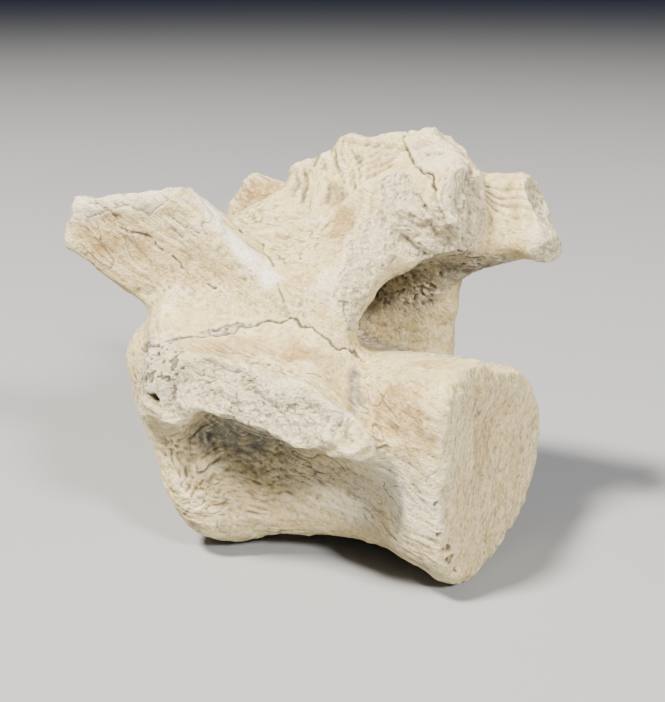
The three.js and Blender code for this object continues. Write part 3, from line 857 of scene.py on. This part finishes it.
def hollowness(mesh, p, facing):
    """How hollow the skin is at each point, against a smoothed copy: above 0 in a pit, below on a ridge."""
    ends = np.empty(len(mesh.edges) * 2, np.int32)
    mesh.edges.foreach_get("vertices", ends)
    one, other = ends.reshape(-1, 2).T
    count = np.bincount(one, minlength=len(p)) + np.bincount(other, minlength=len(p))

    def spread(values):
        total = np.bincount(one, values[other], len(p)) + np.bincount(other, values[one], len(p))
        return total / count

    smooth = p.copy()
    total = np.zeros(len(p))
    done = 0
    for steps, depth_mm in HOLLOW_SIZES:
        while done < steps:
            smooth = np.stack([0.5 * smooth[:, n] + 0.5 * spread(smooth[:, n]) for n in range(3)], 1)
            done += 1
        total += 0.5 * np.clip(((smooth - p) * facing).sum(1) / depth_mm, -1, 1)
    return total


def bone_skin(material):
    """The whole bone, in closed pieces."""
    mesh = whole_skin()
    p, facing = bone_points(mesh)
    p = p - facing * SWELL_MM
    look = {name: np.zeros(len(p)) for name in FINISHES}
    p, broken = crisp_breaks(p, facing)
    show(look, "spongy", broken)
    p = p + facing * weather(p, facing, look)[:, None]
    lay_down(mesh, p)
    _, facing = bone_points(mesh)
    look["hollow"] = hollowness(mesh, p, facing)
    for name in FINISHES:
        attribute = mesh.attributes.new(name, "FLOAT", "POINT")
        attribute.data.foreach_set("value", look[name].astype(np.float32))
    facing = (facing @ AXES.T).astype(np.float32)
    attribute = mesh.attributes.new("facing", "FLOAT_VECTOR", "POINT")
    attribute.data.foreach_set("vector", facing.ravel())
    whole = bmesh.new()
    whole.from_mesh(mesh)
    body, arch = halves(whole, (0, 0, CANAL_Z), (0, 0, 1))
    body, right_process = halves(body, (0, RIGHT_PROCESS_Y, 0), (0, 1, 0))
    keel, upper_body = halves(body, (0, 0, LOWER_BODY_Z), (0, 0, 1))
    keel_head, keel_tail = halves(keel, (MIDDLE_X, 0, 0), (1, 0, 0))
    body_head, body_tail = halves(upper_body, (MIDDLE_X, 0, 0), (1, 0, 0))
    arch_head, arch_tail = halves(arch, (MIDDLE_X, 0, 0), (1, 0, 0))
    finish_piece(keel_head, "keel_head_end", ["centrum"], material)
    finish_piece(keel_tail, "keel_tail_end", ["centrum"], material)
    finish_piece(body_head, "body_head_end", ["centrum", "transverse_process_left"], material)
    finish_piece(body_tail, "body_tail_end", ["centrum"], material)
    finish_piece(right_process, "right_process", ["transverse_process_right"], material)
    front = ["pedicle_left", "pedicle_right", "prezygapophysis_left", "prezygapophysis_right"]
    rear = ["lamina", "neural_spine", "postzygapophysis_left", "postzygapophysis_right"]
    finish_piece(arch_head, "arch_head_end", front, material)
    finish_piece(arch_tail, "arch_tail_end", rear, material)


# Materials


def linear(code):
    """An sRGB hex colour as linear red, green, blue and alpha."""
    values = [int(code[i : i + 2], 16) / 255 for i in (1, 3, 5)]
    return [v / 12.92 if v <= 0.04045 else ((v + 0.055) / 1.055) ** 2.4 for v in values] + [1]


def add(tree, kind, inputs=None, **settings):
    """A node with its settings. Inputs, by name or number, are values or other nodes' outputs."""
    node = tree.nodes.new(kind)
    for name, value in settings.items():
        setattr(node, name, value)
    for name, value in (inputs or {}).items():
        if isinstance(value, bpy.types.NodeSocket):
            tree.links.new(value, node.inputs[name])
        else:
            node.inputs[name].default_value = value
    return node


def per_metre(size_mm):
    """A pattern's scale on coordinates in metres, from its size in millimetres."""
    return 1 / (size_mm * MM)


# Sockets that have no name of their own: a Mix node's for colours and for numbers.
FACTOR = 0
COLOUR_A, COLOUR_B, COLOUR_OUT = 6, 7, 2
NUMBER_A, NUMBER_B, NUMBER_OUT = 2, 3, 0

# The uneven patterns of the surface: each one's size in millimetres, how many finer sizes it has on it and
# how rough they are, the noise that counts as none and as all of it, and the least share of it anywhere.
PATTERNS = {
    "buff patches": (15, 5, 0.55, 0.4, 0.62, 0),
    "cream flecks": (4.5, 6, 0.7, 0.5, 0.68, 0),
    "brown flecks": (2.1, 8, 0.75, 0.5, 0.66, 0),
    "stain blotches": (6, 7, 0.65, 0.34, 0.6, 0.4),
    "bleached blotches": (5, 4, 0.55, 0.3, 0.6, 0.45),
    "chalk blotches": (2.6, 6, 0.65, 0.4, 0.64, 0),
    "stone blotches": (3, 6, 0.65, 0.38, 0.64, 0),
    "blotches_of_dirt_and_painted_shade": (6, 6, 0.65, 0.3, 0.62, 0.4),
    "specks": (1.1, 4, 0.65, 0.54, 0.68, 0),
    "specked places": (7, 3, 0.55, 0.4, 0.6, 0),
    "dull blotches": (5, 3, 0.55, 0.35, 0.65, 0),
    "crumbs": (1.7, 4, 0.6, 0.35, 0.65, 0),
    "pores": (0.8, 4, 0.65, 0.3, 0.7, 0),
}

# Shares taken from a finish: the finish, and its values that count as 0 and as 1.
SHARES = {
    "dark grain": ("fibre", 0.05, -0.6),
    "light grain": ("fibre", 0.1, 0.7),
    # Pits are darkened by their depth, as dirt and painted shade, and ridges lightened, as wear and painted
    # highlight.
    "pit_dirt_and_painted_shade": ("hollow", 0.04, 0.75),
    "rubbed_edge_and_painted_highlight": ("hollow", -0.05, -0.7),
    "dense bone": ("spongy", 2.2, 0),
}

GROUND = "#e8d8a2"

# The colours laid over the ground in turn: each one's colour, its strength, and what it shows by.
LAYERS = (
    ("#d9c389", 1.0, ("buff patches",)),
    ("#f3e9cc", 0.7, ("cream flecks",)),
    ("#a8936b", 0.6, ("brown flecks",)),
    ("#948363", 0.5, ("dark grain",)),
    ("#ebe1c6", 0.45, ("light grain",)),
    ("#a4854f", 1.0, ("stain", "stain blotches")),
    ("#f3edd6", 1.0, ("pale", "bleached blotches")),
    ("#f5edd0", 0.75, ("spongy",)),
    ("#ccbe98", 0.75, ("spongy", "chalk blotches")),
    ("#b3ada0", 0.85, ("grey",)),
    ("#77726a", 0.85, ("grey", "stone blotches")),
    # Near white where polished: real gloss with a painted highlight.
    ("#faf7ee", 0.9, ("polish_and_painted_highlight",)),
    # Darker in pits: dirt and painted shade.
    ("#5c574b", 0.75, ("pit_dirt_and_painted_shade", "dense bone")),
    # Grey-black in the hollow below the left process: dirt and painted shade.
    ("#40434a", 1.0, ("dirt_and_painted_shade", "blotches_of_dirt_and_painted_shade")),
    # Lighter on ridges: wear and painted highlight.
    ("#f2e9cd", 0.5, ("rubbed_edge_and_painted_highlight",)),
    ("#7d6847", 0.5, ("specks", "specked places")),
    ("#453724", 0.9, ("crack",)),
)

# Roughness: what the plain surface has, and what each finish or pattern adds to it.
PLAIN_ROUGHNESS = 0.56
ROUGHNESS_CHANGES = {"spongy": 0.3, "grey": 0.2, "dull blotches": 0.12, "polish_and_painted_highlight": -0.42}

# Relief too fine for the mesh. Fibre ends and pores 0.3 to 1 mm across are drawn at the coarse end, so that
# they show. Torn bone is crumbly all over, and whole bone hardly at all.
THREAD_MM = 0.8
THREAD_LENGTHS = 8  # how many times as long as wide a fibre shows
CRUMBS_ON_WHOLE_BONE = 0.12
PORE_DEPTH_MM, THREAD_DEPTH_MM, CRUMB_DEPTH_MM = 0.5, 0.6, 0.9


def fossil_bone():
    """Fossil bone: bone turned to stone, cleaned by hand and consolidated with thin resin.

    Cream and buff by patches, with brown mineral stains along its grain, grey-white and chalky where it is
    broken, and darker in cracks. Pits are darkened as dirt and painted shade, and ridges lightened as wear
    and painted highlight. It has a faint gloss where the smooth outer layer is whole, whitened there as
    painted highlight, and the hollow below the left process is darkened as dirt and painted shade.
    """
    material = bpy.data.materials.new("fossil_bone_cleaned_by_hand")
    material.use_nodes = True
    tree = material.node_tree
    shader = tree.nodes["Principled BSDF"]
    place = add(tree, "ShaderNodeTexCoord").outputs["Object"]
    share_of = {}
    for name in FINISHES:
        share_of[name] = add(tree, "ShaderNodeAttribute", attribute_name=name).outputs["Fac"]
    for name, (size_mm, detail, rough, none, all_of_it, least) in PATTERNS.items():
        texture = {"Vector": place, "Scale": per_metre(size_mm), "Detail": detail, "Roughness": rough}
        value = add(tree, "ShaderNodeTexNoise", texture).outputs["Fac"]
        span = {"Value": value, "From Min": none, "From Max": all_of_it, "To Min": least}
        share_of[name] = add(tree, "ShaderNodeMapRange", span).outputs["Result"]
    for name, (finish, none, all_of_it) in SHARES.items():
        span = {"Value": share_of[finish], "From Min": none, "From Max": all_of_it}
        share_of[name] = add(tree, "ShaderNodeMapRange", span).outputs["Result"]

    colour = linear(GROUND)
    for code, strength, names in LAYERS:
        share = strength
        for name in names:
            product = add(tree, "ShaderNodeMath", {0: share_of[name], 1: share}, operation="MULTIPLY")
            share = product.outputs[0]
        mix = {FACTOR: share, COLOUR_A: colour, COLOUR_B: linear(code)}
        colour = add(tree, "ShaderNodeMix", mix, data_type="RGBA").outputs[COLOUR_OUT]
    tree.links.new(colour, shader.inputs["Base Color"])

    roughness = PLAIN_ROUGHNESS
    for name, change in ROUGHNESS_CHANGES.items():
        terms = {0: share_of[name], 1: change, 2: roughness}
        roughness = add(tree, "ShaderNodeMath", terms, operation="MULTIPLY_ADD").outputs[0]
    tree.links.new(roughness, shader.inputs["Roughness"])
    shader.inputs["IOR"].default_value = 1.5
    shader.inputs["Specular IOR Level"].default_value = 0.4

    # Fibres run along the body below, and out along the front joints above.
    threads = []
    for run in (LEFT_BODY_GRAIN, LEFT_ARCH_GRAIN):
        turn = Vector((1, 0, 0)).rotation_difference(Vector(AXES @ np.array(run))).to_euler()
        lie = {"Vector": place, "Rotation": turn, "Scale": (THREAD_LENGTHS, 1, 1)}
        along = add(tree, "ShaderNodeMapping", lie, vector_type="TEXTURE").outputs["Vector"]
        texture = {"Vector": along, "Scale": per_metre(THREAD_MM), "Detail": 4, "Roughness": 0.6}
        threads.append(add(tree, "ShaderNodeTexNoise", texture).outputs["Fac"])
    mix = {FACTOR: share_of["arch"], NUMBER_A: threads[0], NUMBER_B: threads[1]}
    thread = add(tree, "ShaderNodeMix", mix, data_type="FLOAT").outputs[NUMBER_OUT]
    terms = {0: share_of["spongy"], 1: CRUMBS_ON_WHOLE_BONE}
    crumbly = add(tree, "ShaderNodeMath", terms, operation="ADD").outputs[0]
    terms = {0: share_of["crumbs"], 1: crumbly}
    crumb = add(tree, "ShaderNodeMath", terms, operation="MULTIPLY").outputs[0]
    bump = {}
    reliefs = ((share_of["pores"], PORE_DEPTH_MM), (thread, THREAD_DEPTH_MM), (crumb, CRUMB_DEPTH_MM))
    for height, depth_mm in reliefs:
        bump.update({"Height": height, "Distance": depth_mm * MM, "Strength": 1.0})
        bump["Normal"] = add(tree, "ShaderNodeBump", bump).outputs["Normal"]
    tree.links.new(bump["Normal"], shader.inputs["Normal"])
    return material


bone_skin(fossil_bone())


# The table and the light


def matt_paint(name, code):
    """Matt wall paint: rolled, so even and without gloss."""
    material = bpy.data.materials.new(name)
    material.use_nodes = True
    shader = material.node_tree.nodes["Principled BSDF"]
    shader.inputs["Base Color"].default_value = linear(code)
    shader.inputs["Roughness"].default_value = 0.9
    return material


def table_top():
    """A plain pale table top, wide enough to fill the view."""
    bm = bmesh.new()
    bmesh.ops.create_grid(bm, x_segments=1, y_segments=1, size=12)
    mesh = bpy.data.meshes.new("table")
    bm.to_mesh(mesh)
    bm.free()
    table = new_object("table", mesh)
    mesh.materials.append(matt_paint("pale_matt_paint", "#8c9096"))


def soft_lamp(name, code, watts, azimuth, elevation):
    """A square studio lamp, aimed at the bone."""
    data = bpy.data.lights.new(name, "AREA")
    data.energy = watts
    data.size = 0.35
    data.color = linear(code)[:3]
    aim(bpy.data.objects.new(name, data), Vector((0, 0, 0.05)), azimuth, elevation, distance=2.4)


def faint_sky(code, strength):
    """Cool, weak light from all round, which keeps the shadows open."""
    world = bpy.data.worlds.new("studio")
    bpy.context.scene.world = world
    world.use_nodes = True
    background = world.node_tree.nodes["Background"]
    background.inputs["Color"].default_value = linear(code)
    background.inputs["Strength"].default_value = strength


table_top()
soft_lamp("key", "#fff3e0", watts=250, azimuth=-24, elevation=58)
soft_lamp("side", "#fff6ea", watts=120, azimuth=62, elevation=33)
faint_sky("#a9c3ff", strength=0.09)
